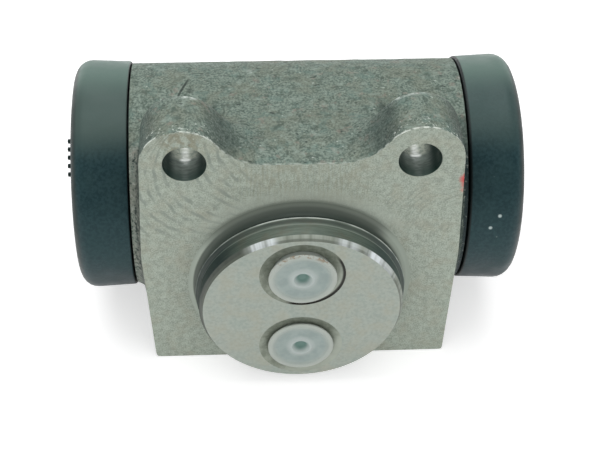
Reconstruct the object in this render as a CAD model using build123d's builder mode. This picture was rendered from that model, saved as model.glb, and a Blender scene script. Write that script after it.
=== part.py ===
from build123d import *
import math
import os

os.makedirs("parts", exist_ok=True)

# A drum brake wheel cylinder with two opposed pistons.
# +X runs along the bore, -Y is the way the mounting face looks, +Z points to the two fixing ears.
# The origin is where the axis of the round spigot meets the mounting face.
# Places along the bore are measured outward from the middle, X = 0, on both sides.

# Mounting face and fixing ears
bolt_spacing = 33.0
bolt_hole_diameter = 6.2
bolt_height = 24.4
ear_radius = 5.95
ear_offset = 0.4
ear_root_radius = 8.0
pad_thickness = 8.6
pad_top_height = 24.0
pad_bottom_height = -16.4
pad_bottom_width = 45.5
pad_bottom_offset = 0.35
pad_parting_width = 47.2
pad_parting_offset = 0.05
pad_edge_radius = 0.8

# Spigot that centres the cylinder in its back plate
spigot_diameter = 30.4
spigot_height = 5.85
spigot_chamfer_radial = 0.55
spigot_chamfer_depth = 0.85
root_radius = 1.6
crest_diameter = 31.5
crest_height = 2.05
crest_slope_depth = 0.75

# Two hydraulic ports in the spigot
port_spacing = 15.3
port_drill_diameter = 8.9
port_depth = 10.0
port_mouth_diameter = 12.6
port_mouth_angle = 150.0
drill_point_angle = 118.0
inlet_drilling_diameter = 3.0
bleed_drilling_diameter = 2.5
bleed_drilling_angle = 17.0

# Cast barrel and bore
bore_axis_depth = 18.7
bore_axis_height = 6.1
bore_diameter = 22.2
bore_mouth_chamfer = 1.0
barrel_diameter = 34.2
barrel_half_length = 24.75
housing_half_length = 31.0
land_diameter = 30.4
land_chamfer = 0.4
land_groove_depth = 0.8
land_groove_width = 1.6
land_groove_place = 26.8
top_web_width = 26.0
top_web_radius = 4.0
web_root_width = 32.0
port_web_width = 24.0
port_web_lip = 9.5
web_edge_radius = 1.5
web_draft_angle = 4.0

# Pistons
piston_clearance = 0.04
piston_inner_end = 11.4
piston_nose_end = 32.6
piston_skirt_end = 24.4
piston_edge_chamfer = 0.6
nose_diameter = 16.0
nose_edge_chamfer = 0.5
slot_width = 5.6
slot_depth = 4.8
boot_groove_depth = 1.1
boot_groove_width = 1.3
boot_groove_place = 25.3

# Cup seals, their expanders and the spring between them
seal_clearance = 0.05
seal_length = 5.0
seal_base_thickness = 2.3
seal_lip_thickness = 1.5
seal_back_gap = 0.1
expander_thickness = 0.6
expander_clearance = 0.15
expander_base_diameter = 14.6
expander_cone_length = 2.0
expander_cone_rise = 1.5
expander_hole_diameter = 6.0
spring_wire_diameter = 1.2
spring_flat_count = 8
spring_outer_diameter = 13.4
spring_turns = 5.5
spring_end_gap = 0.05

# Rubber boots over the ends of the barrel
boot_rim_gap = 0.25
boot_rim_diameter = 34.8
boot_shoulder_diameter = 35.6
boot_outer_end = 33.4
boot_shoulder_radius = 2.4
boot_land_clearance = 0.05
boot_end_thickness = 1.5
boot_throat_diameter = 21.0
boot_sleeve_thickness = 1.2
boot_throat_radius = 0.7
boot_lip_length = 1.1
boot_lip_clearance = 0.1
pip_count = 5
pip_diameter = 0.7
pip_height = 0.4
pip_circle_diameter = 30.0
pip_step_angle = 5.2
left_pips_angle = 127.9
right_pips_angle = 300.0

# Push-in transport plugs
plug_head_diameter = 9.95
plug_head_thickness = 0.9
plug_rim_thickness = 0.25
plug_edge_chamfer = 0.1
plug_floor_depth = 1.6
plug_stem_clearance = 0.05
plug_stem_length = 8.0
plug_stem_wall = 1.0
plug_tip_chamfer = 0.5
plug_dimple_diameter = 2.6
plug_dimple_floor_diameter = 1.2
plug_dimple_depth = 0.7
plug_ring_diameter = 3.1
plug_ring_height = 0.2
plug_dish_diameter = 8.0
plug_dish_depth = 0.15
inlet_plug_lift = 0.9
bleed_plug_lift = 0.4

# Radii and places that follow from the sizes above
bore_radius = bore_diameter / 2
barrel_radius = barrel_diameter / 2
land_radius = land_diameter / 2
spigot_radius = spigot_diameter / 2
barrel_top_height = bore_axis_height + barrel_radius
ear_centre = bolt_spacing / 2 + ear_offset
port_heights = {"inlet": port_spacing / 2, "bleed": -port_spacing / 2}
port_plane = {
    name: Plane(origin=(0, -spigot_height, height), x_dir=(1, 0, 0), z_dir=(0, -1, 0))
    for name, height in port_heights.items()
}
bore_axis = Axis((0, bore_axis_depth, bore_axis_height), (1, 0, 0))
sides = {"left": -1, "right": 1}


def outward(side):
    """A sketch plane through the bore axis: its x runs outward from the middle, its y is the radius."""
    way = sides[side]
    return Plane(origin=(0, bore_axis_depth, bore_axis_height), x_dir=(way, 0, 0), z_dir=(0, -way, 0))


# The housing is one iron casting. The barrel is turned down at both ends for the boots, the pad with its
# two ears is milled flat, and the spigot is turned on it with both ports inside.
with BuildPart() as housing:
    # Milled pad: its sides draw in above and below the parting line, which runs level with the bore.
    # The casting sits a little to the right of what was machined in it.
    with BuildSketch(Plane.XZ):
        with BuildLine():
            Polyline(
                (pad_bottom_offset - pad_bottom_width / 2, pad_bottom_height),
                (pad_bottom_offset + pad_bottom_width / 2, pad_bottom_height),
                (pad_parting_offset + pad_parting_width / 2, bore_axis_height),
                (ear_centre + ear_radius, bolt_height),
                (ear_centre, bolt_height),
                (ear_centre, pad_top_height),
                (-ear_centre, pad_top_height),
                (-ear_centre, bolt_height),
                (-ear_centre - ear_radius, bolt_height),
                (pad_parting_offset - pad_parting_width / 2, bore_axis_height),
                close=True,
            )
        make_face()
        with Locations((-ear_centre, bolt_height), (ear_centre, bolt_height)):
            Circle(ear_radius)
        ear_roots = vertices().sort_by_distance((0, pad_top_height))[:2]
        fillet(ear_roots, radius=ear_root_radius)
    extrude(amount=-pad_thickness)
    fillet(faces().sort_by(Axis.Y)[-1].edges(), radius=pad_edge_radius)

    # Barrel, turned down at both ends to a land with a groove for the boot
    groove_end = land_groove_place + land_groove_width
    land_end = housing_half_length - land_chamfer
    for side in sides:
        with BuildSketch(outward(side)):
            with BuildLine():
                Polyline(
                    (0, 0),
                    (0, barrel_radius),
                    (barrel_half_length, barrel_radius),
                    (barrel_half_length, land_radius),
                    (land_groove_place, land_radius),
                    (land_groove_place, land_radius - land_groove_depth),
                    (groove_end, land_radius - land_groove_depth),
                    (groove_end, land_radius),
                    (land_end, land_radius),
                    (housing_half_length, land_radius - land_chamfer),
                    (housing_half_length, 0),
                    close=True,
                )
            make_face()
        revolve(axis=bore_axis)

    # Web between the ears that fills the space from the pad back to the top of the barrel
    with BuildSketch(Plane.XZ):
        with BuildLine():
            Polyline(
                (0, bore_axis_height),
                (web_root_width / 2, bore_axis_height),
                (top_web_width / 2, pad_top_height),
                (0, pad_top_height),
            )
            mirror(about=Plane.YZ)
        make_face()
        fillet(vertices().group_by(Axis.Y)[-1], radius=top_web_radius)
    extrude(amount=-bore_axis_depth)
    with BuildSketch(Plane.YZ):
        with BuildLine():
            Polyline(
                (pad_thickness, pad_top_height),
                (bore_axis_depth, pad_top_height),
                (bore_axis_depth, barrel_top_height),
                close=True,
            )
        make_face()
    extrude(amount=top_web_width / 2, both=True, mode=Mode.SUBTRACT)

    # Web under the barrel that carries the ports. Its underside slopes up and meets the barrel as a tangent.
    lip_run = bore_axis_depth - port_web_lip
    lip_rise = bore_axis_height - pad_bottom_height
    slope = math.atan2(lip_rise, lip_run) - math.asin(barrel_radius / math.hypot(lip_run, lip_rise))
    slope_end = (
        bore_axis_depth + barrel_radius * math.sin(slope),
        bore_axis_height - barrel_radius * math.cos(slope),
    )
    with BuildSketch(Plane.YZ):
        with BuildLine():
            Polyline(
                (0, bore_axis_height),
                (0, pad_bottom_height),
                (port_web_lip, pad_bottom_height),
                slope_end,
                (bore_axis_depth, bore_axis_height),
                close=True,
            )
        make_face()
        lip_corner = vertices().sort_by_distance((port_web_lip, pad_bottom_height))[0]
        fillet(lip_corner, radius=web_edge_radius)
    extrude(amount=port_web_width / 2, both=True, taper=web_draft_angle)

    # Spigot, with a hollow at its root and a sharp crest between the hollow and the wall
    with BuildSketch(Plane.YZ):
        with BuildLine():
            Line((root_radius, 0), (root_radius, spigot_radius + root_radius))
            Line((root_radius, spigot_radius + root_radius), (0, spigot_radius + root_radius))
            RadiusArc((0, spigot_radius + root_radius), (-root_radius, spigot_radius), root_radius)
            Polyline(
                (-root_radius, spigot_radius),
                (-crest_height, crest_diameter / 2),
                (-crest_height - crest_slope_depth, spigot_radius),
                (spigot_chamfer_depth - spigot_height, spigot_radius),
                (-spigot_height, spigot_radius - spigot_chamfer_radial),
                (-spigot_height, 0),
                (root_radius, 0),
            )
        make_face()
    revolve(axis=Axis.Y)
    # The hollow runs out at the lower edge of the pad
    with BuildSketch(Plane.XY.offset(pad_bottom_height)):
        Rectangle(spigot_diameter, 2 * root_radius)
    extrude(amount=-root_radius, mode=Mode.SUBTRACT)

    # Bore with chamfered mouths
    with BuildSketch(outward("right")):
        with BuildLine():
            mouth_start = housing_half_length - bore_mouth_chamfer
            mouth_radius = bore_radius + bore_mouth_chamfer
            Polyline(
                (-housing_half_length, 0),
                (-housing_half_length, mouth_radius),
                (-mouth_start, bore_radius),
                (mouth_start, bore_radius),
                (housing_half_length, mouth_radius),
                (housing_half_length, 0),
                close=True,
            )
        make_face()
    revolve(axis=bore_axis, mode=Mode.SUBTRACT)

    # Fixing holes through the ears
    with Locations(Plane(origin=(0, 0, bolt_height), x_dir=(1, 0, 0), z_dir=(0, -1, 0))):
        with GridLocations(bolt_spacing, 0, 2, 1):
            Hole(radius=bolt_hole_diameter / 2, depth=pad_thickness)

    # Ports with a wide countersink, each ending in the point of its drill
    point_depth = port_drill_diameter / 2 / math.tan(math.radians(drill_point_angle / 2))
    for plane in port_plane.values():
        with Locations(plane):
            CounterSinkHole(
                radius=port_drill_diameter / 2,
                counter_sink_radius=port_mouth_diameter / 2,
                depth=port_depth,
                counter_sink_angle=port_mouth_angle,
            )
        with Locations(plane.offset(-port_depth - point_depth / 2)):
            Cone(
                bottom_radius=0,
                top_radius=port_drill_diameter / 2,
                height=point_depth,
                mode=Mode.SUBTRACT,
            )

    # Straight drilling from the inlet port into the bore
    port_end_depth = port_depth - spigot_height
    with BuildSketch(port_plane["inlet"].offset(-port_depth)):
        Circle(inlet_drilling_diameter / 2)
    extrude(amount=-(bore_axis_depth - port_end_depth), mode=Mode.SUBTRACT)

    # Slanted drilling from the bleed port up into the bore
    slant = math.radians(bleed_drilling_angle)
    bleed_plane = Plane(
        origin=(0, port_end_depth, port_heights["bleed"]),
        x_dir=(1, 0, 0),
        z_dir=(0, math.cos(slant), math.sin(slant)),
    )
    with BuildSketch(bleed_plane):
        Circle(bleed_drilling_diameter / 2)
    extrude(amount=(bore_axis_depth - port_end_depth) / math.cos(slant), mode=Mode.SUBTRACT)

housing.part.label = "housing"
export_step(housing.part, "parts/housing.step")


# Each piston is turned from aluminium. Its nose is slotted for the web of the brake shoe, and a groove
# behind the slot holds the lip of the boot.
piston_radius = bore_radius - piston_clearance
nose_radius = nose_diameter / 2
groove_radius = nose_radius - boot_groove_depth
boot_groove_end = boot_groove_place + boot_groove_width
for side in sides:
    with BuildPart() as piston:
        with BuildSketch(outward(side)):
            with BuildLine():
                Polyline(
                    (piston_inner_end, 0),
                    (piston_inner_end, piston_radius - piston_edge_chamfer),
                    (piston_inner_end + piston_edge_chamfer, piston_radius),
                    (piston_skirt_end - piston_edge_chamfer, piston_radius),
                    (piston_skirt_end, piston_radius - piston_edge_chamfer),
                    (piston_skirt_end, nose_radius),
                    (boot_groove_place, nose_radius),
                    (boot_groove_place, groove_radius),
                    (boot_groove_end, groove_radius),
                    (boot_groove_end, nose_radius),
                    (piston_nose_end - nose_edge_chamfer, nose_radius),
                    (piston_nose_end, nose_radius - nose_edge_chamfer),
                    (piston_nose_end, 0),
                    close=True,
                )
            make_face()
        revolve(axis=bore_axis)
        with BuildSketch(outward(side)):
            with Locations((piston_nose_end - slot_depth / 2, 0)):
                Rectangle(slot_depth, 2 * piston_radius)
        extrude(amount=slot_width / 2, both=True, mode=Mode.SUBTRACT)
    piston.part.label = f"{side}_piston"
    export_step(piston.part, f"parts/{side}_piston.step")


# Each cup seal is a moulded rubber cup. Its base lies on the piston and its lips face the fluid.
seal_radius = bore_radius - seal_clearance
seal_back = piston_inner_end - seal_back_gap
seal_front = seal_back - seal_length
cavity_floor = seal_back - seal_base_thickness
cavity_radius = expander_base_diameter / 2 + expander_clearance
for side in sides:
    with BuildPart() as cup_seal:
        with BuildSketch(outward(side)):
            with BuildLine():
                Polyline(
                    (seal_back, 0),
                    (seal_back, seal_radius - seal_lip_thickness / 2),
                    (seal_back - seal_lip_thickness / 2, seal_radius),
                    (seal_front, seal_radius),
                    (seal_front, seal_radius - seal_lip_thickness),
                    (cavity_floor, cavity_radius),
                    (cavity_floor, 0),
                    close=True,
                )
            make_face()
        revolve(axis=bore_axis)
    cup_seal.part.label = f"{side}_cup_seal"
    export_step(cup_seal.part, f"parts/{side}_cup_seal.step")


# Each expander is pressed from steel sheet. It sits in the cup, and the spring pushes on its flat floor.
expander_back = cavity_floor - spring_end_gap
expander_floor = expander_back - expander_thickness
expander_radius = expander_base_diameter / 2
for side in sides:
    with BuildPart() as expander:
        with BuildSketch(outward(side)):
            with BuildLine():
                Polyline(
                    (expander_back, expander_hole_diameter / 2),
                    (expander_back, expander_radius),
                    (expander_back - expander_cone_length, expander_radius + expander_cone_rise),
                    (
                        expander_back - expander_cone_length,
                        expander_radius + expander_cone_rise - expander_thickness,
                    ),
                    (expander_floor, expander_radius - expander_thickness / 2),
                    (expander_floor, expander_hole_diameter / 2),
                    close=True,
                )
            make_face()
        revolve(axis=bore_axis)
    expander.part.label = f"{side}_cup_expander"
    export_step(expander.part, f"parts/{side}_cup_expander.step")


# The return spring is an open coil of steel wire with its ends ground flat on the expanders. The round of
# the wire is drawn with flats.
wire_radius = spring_wire_diameter / 2
spring_radius = spring_outer_diameter / 2 - wire_radius
spring_end = expander_floor - spring_end_gap
coil_length = 2 * spring_end + spring_wire_diameter
with BuildPart() as return_spring:
    with BuildLine() as coil_line:
        Helix(
            pitch=coil_length / spring_turns,
            height=coil_length,
            radius=spring_radius,
            center=(-coil_length / 2, bore_axis_depth, bore_axis_height),
            direction=(1, 0, 0),
        )
    with BuildSketch(Plane(origin=coil_line.line @ 0, z_dir=coil_line.line % 0)):
        RegularPolygon(wire_radius, spring_flat_count)
    sweep(path=coil_line.line)
    split(bisect_by=Plane.YZ.offset(spring_end), keep=Keep.BOTTOM)
    split(bisect_by=Plane.YZ.offset(-spring_end), keep=Keep.TOP)
return_spring.part.label = "return_spring"
export_step(return_spring.part, "parts/return_spring.step")


# Each boot is moulded in rubber. Its skirt snaps over the turned end of the barrel, its flat end turns in
# to a sleeve, and the lip of the sleeve grips the groove in the piston.
boot_rim = barrel_half_length + boot_rim_gap
boot_inner_radius = land_radius + boot_land_clearance
bead_radius = boot_inner_radius - land_groove_depth
end_inside = boot_outer_end - boot_end_thickness
shoulder_radius = boot_shoulder_diameter / 2
throat_radius = boot_throat_diameter / 2
sleeve_radius = throat_radius - boot_sleeve_thickness
lip_radius = groove_radius + boot_land_clearance
lip_start = boot_groove_place + boot_lip_clearance
lip_end = lip_start + boot_lip_length
bead_start = land_groove_place + boot_land_clearance
bead_end = groove_end - boot_land_clearance
pips_angle = {"left": left_pips_angle, "right": right_pips_angle}
for side, way in sides.items():
    with BuildPart() as boot:
        with BuildSketch(outward(side)):
            with BuildLine():
                Polyline(
                    (boot_rim, boot_inner_radius),
                    (boot_rim, boot_rim_diameter / 2),
                    (boot_outer_end, shoulder_radius),
                    (boot_outer_end, sleeve_radius),
                    (lip_end, sleeve_radius),
                    (lip_end, lip_radius),
                    (lip_start, lip_radius),
                    (lip_start, throat_radius),
                    (end_inside, throat_radius),
                    (end_inside, boot_inner_radius),
                    (bead_end, boot_inner_radius),
                    (bead_end, bead_radius),
                    (bead_start, bead_radius),
                    (bead_start, boot_inner_radius),
                    close=True,
                )
            make_face()
            throat_corner, shoulder_corner = vertices().group_by(Axis.X)[-1].sort_by(Axis.Y)
            fillet(shoulder_corner, radius=boot_shoulder_radius)
            fillet(throat_corner, radius=boot_throat_radius)
        revolve(axis=bore_axis)
        # Small moulded pips in a short row on the end
        end_plane = Plane(
            origin=(way * boot_outer_end, bore_axis_depth, bore_axis_height),
            x_dir=(0, 1, 0),
            z_dir=(1, 0, 0),
        )
        first_angle = pips_angle[side] - pip_step_angle * (pip_count - 1) / 2
        with Locations(end_plane):
            with PolarLocations(
                pip_circle_diameter / 2,
                pip_count,
                start_angle=first_angle,
                angular_range=pip_step_angle * pip_count,
            ):
                Cylinder(pip_diameter / 2, 2 * pip_height)
    boot.part.label = f"{side}_boot"
    export_step(boot.part, f"parts/{side}_boot.step")


# The ports are closed for transport with soft plastic plugs. A plug has a round head with a dished face,
# coned underneath, and a hollow stem that is pushed into the port.
stem_radius = port_drill_diameter / 2 - plug_stem_clearance
head_radius = plug_head_diameter / 2
ring_radius = plug_ring_diameter / 2
dish_radius = plug_dish_diameter / 2
dimple_radius = plug_dimple_diameter / 2
dimple_floor_radius = plug_dimple_floor_diameter / 2
ring_face = plug_dish_depth - plug_ring_height
plug_lift = {"inlet": inlet_plug_lift, "bleed": bleed_plug_lift}
for name, plane in port_plane.items():
    with BuildPart() as plug:
        face_plane = plane.offset(plug_lift[name])
        with BuildSketch(Plane(origin=face_plane.origin, x_dir=(1, 0, 0), z_dir=(0, 0, 1))):
            with BuildLine():
                Polyline(
                    (0, plug_dimple_depth),
                    (dimple_floor_radius, plug_dimple_depth),
                    (dimple_radius, ring_face),
                    (ring_radius, ring_face),
                    (ring_radius + plug_ring_height, plug_dish_depth),
                    (dish_radius, plug_dish_depth),
                    (dish_radius + plug_dish_depth, 0),
                    (head_radius - plug_edge_chamfer, 0),
                    (head_radius, plug_edge_chamfer),
                    (head_radius, plug_rim_thickness),
                    (stem_radius, plug_head_thickness),
                    (stem_radius, plug_stem_length - plug_tip_chamfer),
                    (stem_radius - plug_tip_chamfer, plug_stem_length),
                    (stem_radius - plug_stem_wall, plug_stem_length),
                    (stem_radius - plug_stem_wall, plug_floor_depth),
                    (0, plug_floor_depth),
                    close=True,
                )
            make_face()
        revolve(axis=Axis(face_plane.origin, (0, 1, 0)))
    plug.part.label = f"{name}_plug"
    export_step(plug.part, f"parts/{name}_plug.step")
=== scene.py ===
import math

import bmesh
import bpy
import numpy as np
from mathutils import Matrix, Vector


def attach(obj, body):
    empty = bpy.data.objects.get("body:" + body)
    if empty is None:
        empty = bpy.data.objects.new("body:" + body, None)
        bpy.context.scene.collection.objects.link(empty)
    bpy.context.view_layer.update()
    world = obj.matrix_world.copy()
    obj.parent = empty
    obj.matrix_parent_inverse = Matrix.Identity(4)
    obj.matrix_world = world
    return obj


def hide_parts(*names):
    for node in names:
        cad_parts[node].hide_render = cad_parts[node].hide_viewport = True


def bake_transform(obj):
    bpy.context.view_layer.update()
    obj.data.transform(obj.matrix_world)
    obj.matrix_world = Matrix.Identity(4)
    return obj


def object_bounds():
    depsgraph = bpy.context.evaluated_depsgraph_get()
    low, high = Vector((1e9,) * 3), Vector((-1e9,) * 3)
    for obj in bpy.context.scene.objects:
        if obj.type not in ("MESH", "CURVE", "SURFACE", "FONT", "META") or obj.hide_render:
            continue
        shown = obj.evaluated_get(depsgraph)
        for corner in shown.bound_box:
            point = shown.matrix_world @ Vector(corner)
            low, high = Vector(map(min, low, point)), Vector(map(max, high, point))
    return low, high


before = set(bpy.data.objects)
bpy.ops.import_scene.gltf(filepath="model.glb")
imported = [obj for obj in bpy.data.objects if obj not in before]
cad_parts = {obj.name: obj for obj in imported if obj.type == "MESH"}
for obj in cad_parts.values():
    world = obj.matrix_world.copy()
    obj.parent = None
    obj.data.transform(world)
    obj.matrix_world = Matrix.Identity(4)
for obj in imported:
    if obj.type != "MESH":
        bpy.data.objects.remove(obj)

cad_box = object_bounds()


# The cylinder lies on a white table and is photographed from the front and above. The camera stands 146 mm
# in front of the mounting face and 156 mm above the middle of the spigot, turned a little to the right.
def put(name, data):
    """Puts a new object into the scene, at the origin."""
    thing = bpy.data.objects.new(name, data)
    bpy.context.scene.collection.objects.link(thing)
    return thing


camera_place = np.array((-0.010414, -0.145829, 0.155785))
heading, pitch, roll = 0.070136, -0.776871, 0.027013
looking = np.array(
    (math.sin(heading) * math.cos(pitch), math.cos(heading) * math.cos(pitch), math.sin(pitch))
)
level = np.array((math.cos(heading), -math.sin(heading), 0.0))
above = np.cross(level, looking)
frame_right = math.cos(roll) * level + math.sin(roll) * above
frame_up = math.cos(roll) * above - math.sin(roll) * level
camera_lens = bpy.data.cameras.new("camera")
camera_lens.sensor_fit = "HORIZONTAL"
camera_lens.sensor_width = 36.0
camera_lens.lens = 84.55
camera_lens.clip_start = 0.01
camera = put("camera", camera_lens)
stance = np.eye(4)
stance[:3] = np.stack([frame_right, frame_up, -looking, camera_place], axis=1)
camera.matrix_world = Matrix(stance.tolist())
bpy.context.scene.camera = camera
bpy.context.scene.view_settings.view_transform = "Standard"


# A white sheet lies under the part and a white backdrop stands behind it. A large soft panel hangs above, and
# the room gives a low light that is stronger from the front.
def lay_node(tree, kind, settings=None, **inputs):
    """Adds one node to a material or world. Settings are its own options, inputs fill or link its sockets."""
    node = tree.nodes.new(kind)
    for name, value in (settings or {}).items():
        setattr(node, name, value)
    for name, value in inputs.items():
        socket = node.inputs[int(name[1:]) if name.startswith("_") else name.replace("_", " ")]
        if isinstance(value, bpy.types.NodeSocket):
            tree.links.new(value, socket)
        else:
            socket.default_value = value
    return node


def reckon(tree, operation, first, second=0.0):
    """One step of arithmetic between two values."""
    return lay_node(tree, "ShaderNodeMath", {"operation": operation}, _0=first, _1=second).outputs[0]


def slope(tree, value, low, high, bottom=0.0, top=1.0):
    """Carries a value between low and high to a value between bottom and top, eased at both ends."""
    return lay_node(
        tree, "ShaderNodeMapRange", {"interpolation_type": "SMOOTHSTEP"},
        Value=value, From_Min=low, From_Max=high, To_Min=bottom, To_Max=top,
    ).outputs[0]


def seen_rays(tree):
    """One for a ray from the camera, or one that a gloss or a clear wall sends on, and nought for light."""
    path = lay_node(tree, "ShaderNodeLightPath")
    either = reckon(tree, "MAXIMUM", path.outputs["Is Camera Ray"], path.outputs["Is Glossy Ray"])
    return reckon(tree, "MAXIMUM", either, path.outputs["Is Transmission Ray"])


room = bpy.data.worlds.new("room")
room.use_nodes = True
walls = room.node_tree
walls.nodes.clear()
way = lay_node(walls, "ShaderNodeTexCoord").outputs["Generated"]
to_back = lay_node(walls, "ShaderNodeSeparateXYZ", Vector=way).outputs[1]
# The camera sees white all round. A gloss sees white in the far half, and a dim room behind the photographer.
dim_room, low_light, front_light = 0.12, 0.18, 1.25
seen_white = slope(walls, to_back, -0.45, 0.05, dim_room, 1.0)
only_camera = lay_node(walls, "ShaderNodeLightPath").outputs["Is Camera Ray"]
seen_white = reckon(walls, "MAXIMUM", seen_white, only_camera)
soft_light = slope(walls, to_back, 0.1, -0.7, low_light, front_light)
strength = slope(walls, seen_rays(walls), 0.0, 1.0, soft_light, seen_white)
backdrop = lay_node(walls, "ShaderNodeBackground", Color=(1.0, 1.0, 1.0, 1.0), Strength=strength)
lay_node(walls, "ShaderNodeOutputWorld", Surface=backdrop.outputs[0])
bpy.context.scene.world = room

sheet_half, sheet_gap = 2.0, 0.0001
sheet_height = cad_box[0][2] - sheet_gap
sheet_mesh = bpy.data.meshes.new("sheet")
sheet_mesh.from_pydata(
    [(x * sheet_half, y * sheet_half, sheet_height) for x, y in ((-1, -1), (1, -1), (1, 1), (-1, 1))],
    [], [(0, 1, 2, 3)],
)
sheet = put("sheet", sheet_mesh)
sheet_paper = bpy.data.materials.new("sheet_paper")
sheet_paper.use_nodes = True
paper = sheet_paper.node_tree
paper.nodes.clear()
# The glow is low near the part, which keeps its shadow, and stronger far out, where it hides the sheet's edge.
near_glow, far_glow = 0.5, 1.3
sheet_place = lay_node(paper, "ShaderNodeTexCoord").outputs["Object"]
far_out = lay_node(paper, "ShaderNodeVectorMath", {"operation": "LENGTH"}, _0=sheet_place).outputs["Value"]
glow = slope(paper, far_out, 0.2, 0.8, near_glow, far_glow)
glow = slope(paper, seen_rays(paper), 0.0, 1.0, 0.0, glow)
paper_white = lay_node(paper, "ShaderNodeBsdfDiffuse", Color=(0.85, 0.85, 0.85, 1.0))
paper_shine = lay_node(paper, "ShaderNodeEmission", Strength=glow)
paper_both = lay_node(paper, "ShaderNodeAddShader", _0=paper_white.outputs[0], _1=paper_shine.outputs[0])
lay_node(paper, "ShaderNodeOutputMaterial", Surface=paper_both.outputs[0])
sheet_mesh.materials.append(sheet_paper)

panel = bpy.data.lights.new("overhead_panel", "AREA")
panel.shape = "SQUARE"
panel.size = 0.6
panel.energy = 2.5
panel_place = (-0.05, 0.22, 0.52)
put("overhead_panel", panel).matrix_world = Matrix.Translation(panel_place)


# The body is one iron casting, poured in sand and left rough outside. Its mounting face is milled flat, and
# the two fixing holes in its ears and the bore are drilled, so only their rims are sharp.
bore_depth, bore_height, bore_radius = 18.7, 6.1, 11.1
bolt_side, bolt_height, bolt_radius = 16.5, 24.4, 3.1
barrel_end, pad_thickness = 24.75, 8.6
hairs_breadth, spare_face, spare_end = 0.001, 2.0, 1.9
casting_grain, casting_crease = 0.42, 50
skin_rounds, skin_pace = 6, 0.5
filling_rounds, filling_pace = 160, 0.9


def read(items, what, width=3, kind=float):
    """One row of numbers for each of a mesh's items, such as the place of each corner."""
    values = np.empty(len(items) * width, np.float32 if kind is float else np.int32)
    items.foreach_get(what, values)
    return values.reshape(-1, width).astype(kind)


def joined(corners, faces):
    """Makes corners at one place, to 0.2 thousandths of a mm, one corner, and drops the triangles that this
    closes up."""
    step = 2e-4
    _, first, new_place = np.unique(np.round(corners / step), axis=0, return_index=True, return_inverse=True)
    faces = new_place.reshape(-1)[faces]
    a, b, c = faces.T
    return corners[first], faces[(a != b) & (b != c) & (c != a)]


def shade(mesh, crease):
    """Shades a mesh smooth except along the edges that are sharper than the crease angle."""
    mesh.polygons.foreach_set("use_smooth", np.ones(len(mesh.polygons), bool))
    mesh.set_sharp_from_angle(angle=math.radians(crease))


def new_piece(name, corners, faces, finishes, crease=30):
    """A piece from corners in mm and faces, with its finishes and its shading."""
    mesh = bpy.data.meshes.new(name)
    mesh.from_pydata((corners / 1000).tolist(), [], faces.tolist())
    shade(mesh, crease)
    for finish in finishes:
        mesh.materials.append(finish)
    return put(name, mesh)


def cut_flat(shaped, place, facing):
    """Cuts off what stands beyond a flat plane through a place in mm, and closes the cut with a flat face."""
    cut = bmesh.ops.bisect_plane(
        shaped, geom=shaped.verts[:] + shaped.edges[:] + shaped.faces[:], dist=1e-7,
        plane_co=[value / 1000 for value in place], plane_no=facing, clear_outer=True,
    )
    rim = [item for item in cut["geom_cut"] if isinstance(item, bmesh.types.BMEdge)]
    bmesh.ops.triangle_fill(shaped, edges=rim, use_beauty=False, use_dissolve=False, normal=facing)


def lumps(places, size, seed):
    """Smooth random heights from -1 to 1: a seeded random lattice of the given cell size, eased between points."""
    cells = 64
    lattice = np.random.default_rng(seed).uniform(-1, 1, (cells, cells, cells))
    cell = np.floor(places / size).astype(int)
    part = places / size - cell
    part = part * part * (3 - 2 * part)
    height = np.zeros(len(places))
    for corner in np.ndindex(2, 2, 2):
        share = np.prod(np.where(corner, part, 1 - part), axis=1)
        height += share * lattice[tuple(((cell + corner) % cells).T)]
    return height


def ramp(value, start, end):
    """Nought up to the start, one from the end on, and an eased slope between them, either way round."""
    share = np.clip((value - start) / (end - start), 0, 1)
    return share * share * (3 - 2 * share)


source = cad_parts["housing"].data
corners, faces = joined(read(source.vertices, "co") * 1000, read(source.polygons, "vertices", kind=int))
# The milled face and the barrel's ends are drawn out first and cut back afterwards, which keeps their rims sharp.
corners[np.abs(corners[:, 1]) < hairs_breadth, 1] = -spare_face
at_end = np.abs(np.abs(corners[:, 0]) - barrel_end) < hairs_breadth
corners[at_end, 0] = np.sign(corners[at_end, 0]) * (barrel_end + spare_end)
rough_casting = new_piece("rough_casting", corners, faces, [])
remesh = rough_casting.modifiers.new("remesh", "REMESH")
remesh.mode = "VOXEL"
remesh.voxel_size = casting_grain / 1000
fine_mesh = bpy.data.meshes.new_from_object(
    rough_casting.evaluated_get(bpy.context.evaluated_depsgraph_get())
)
bpy.data.objects.remove(rough_casting)
skin = read(fine_mesh.vertices, "co") * 1000
skin_x, skin_y, skin_z = skin.T
outward = read(fine_mesh.vertex_normals, "vector")
to_side = np.abs(outward[:, 0])
starts, ends = read(fine_mesh.edges, "vertices", 2, int).T
neighbours = np.bincount(starts, minlength=len(skin)) + np.bincount(ends, minlength=len(skin))


def pull(places):
    """From each corner of the skin to the middle of its neighbours."""
    summed = np.stack([
        np.bincount(starts, places[ends, k], len(places)) + np.bincount(ends, places[starts, k], len(places))
        for k in range(3)
    ], axis=1)
    return summed / neighbours[:, None] - places


def keep_shade(name, values):
    """Keeps one number for each corner of the skin, for the casting's finish to read."""
    fine_mesh.attributes.new(name, "FLOAT", "POINT").data.foreach_set("value", values.astype(np.float32))


from_bore = np.hypot(skin_y - bore_depth, skin_z - bore_height)
from_bolt = np.hypot(np.abs(skin_x) - bolt_side, skin_z - bolt_height)
off_hole = np.where(skin_y < pad_thickness + 0.9, ramp(from_bolt, bolt_radius + 0.3, bolt_radius + 0.9), 1)
as_cast = ramp(from_bore, bore_radius + 0.9, bore_radius + 1.9) * off_hole
as_cast *= ramp(np.abs(skin_x), barrel_end, barrel_end - 0.2)
cast_back = as_cast * ramp(skin_y, 0.3, 2.0)
for _ in range(skin_rounds):
    skin += skin_pace * as_cast[:, None] * pull(skin)
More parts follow.
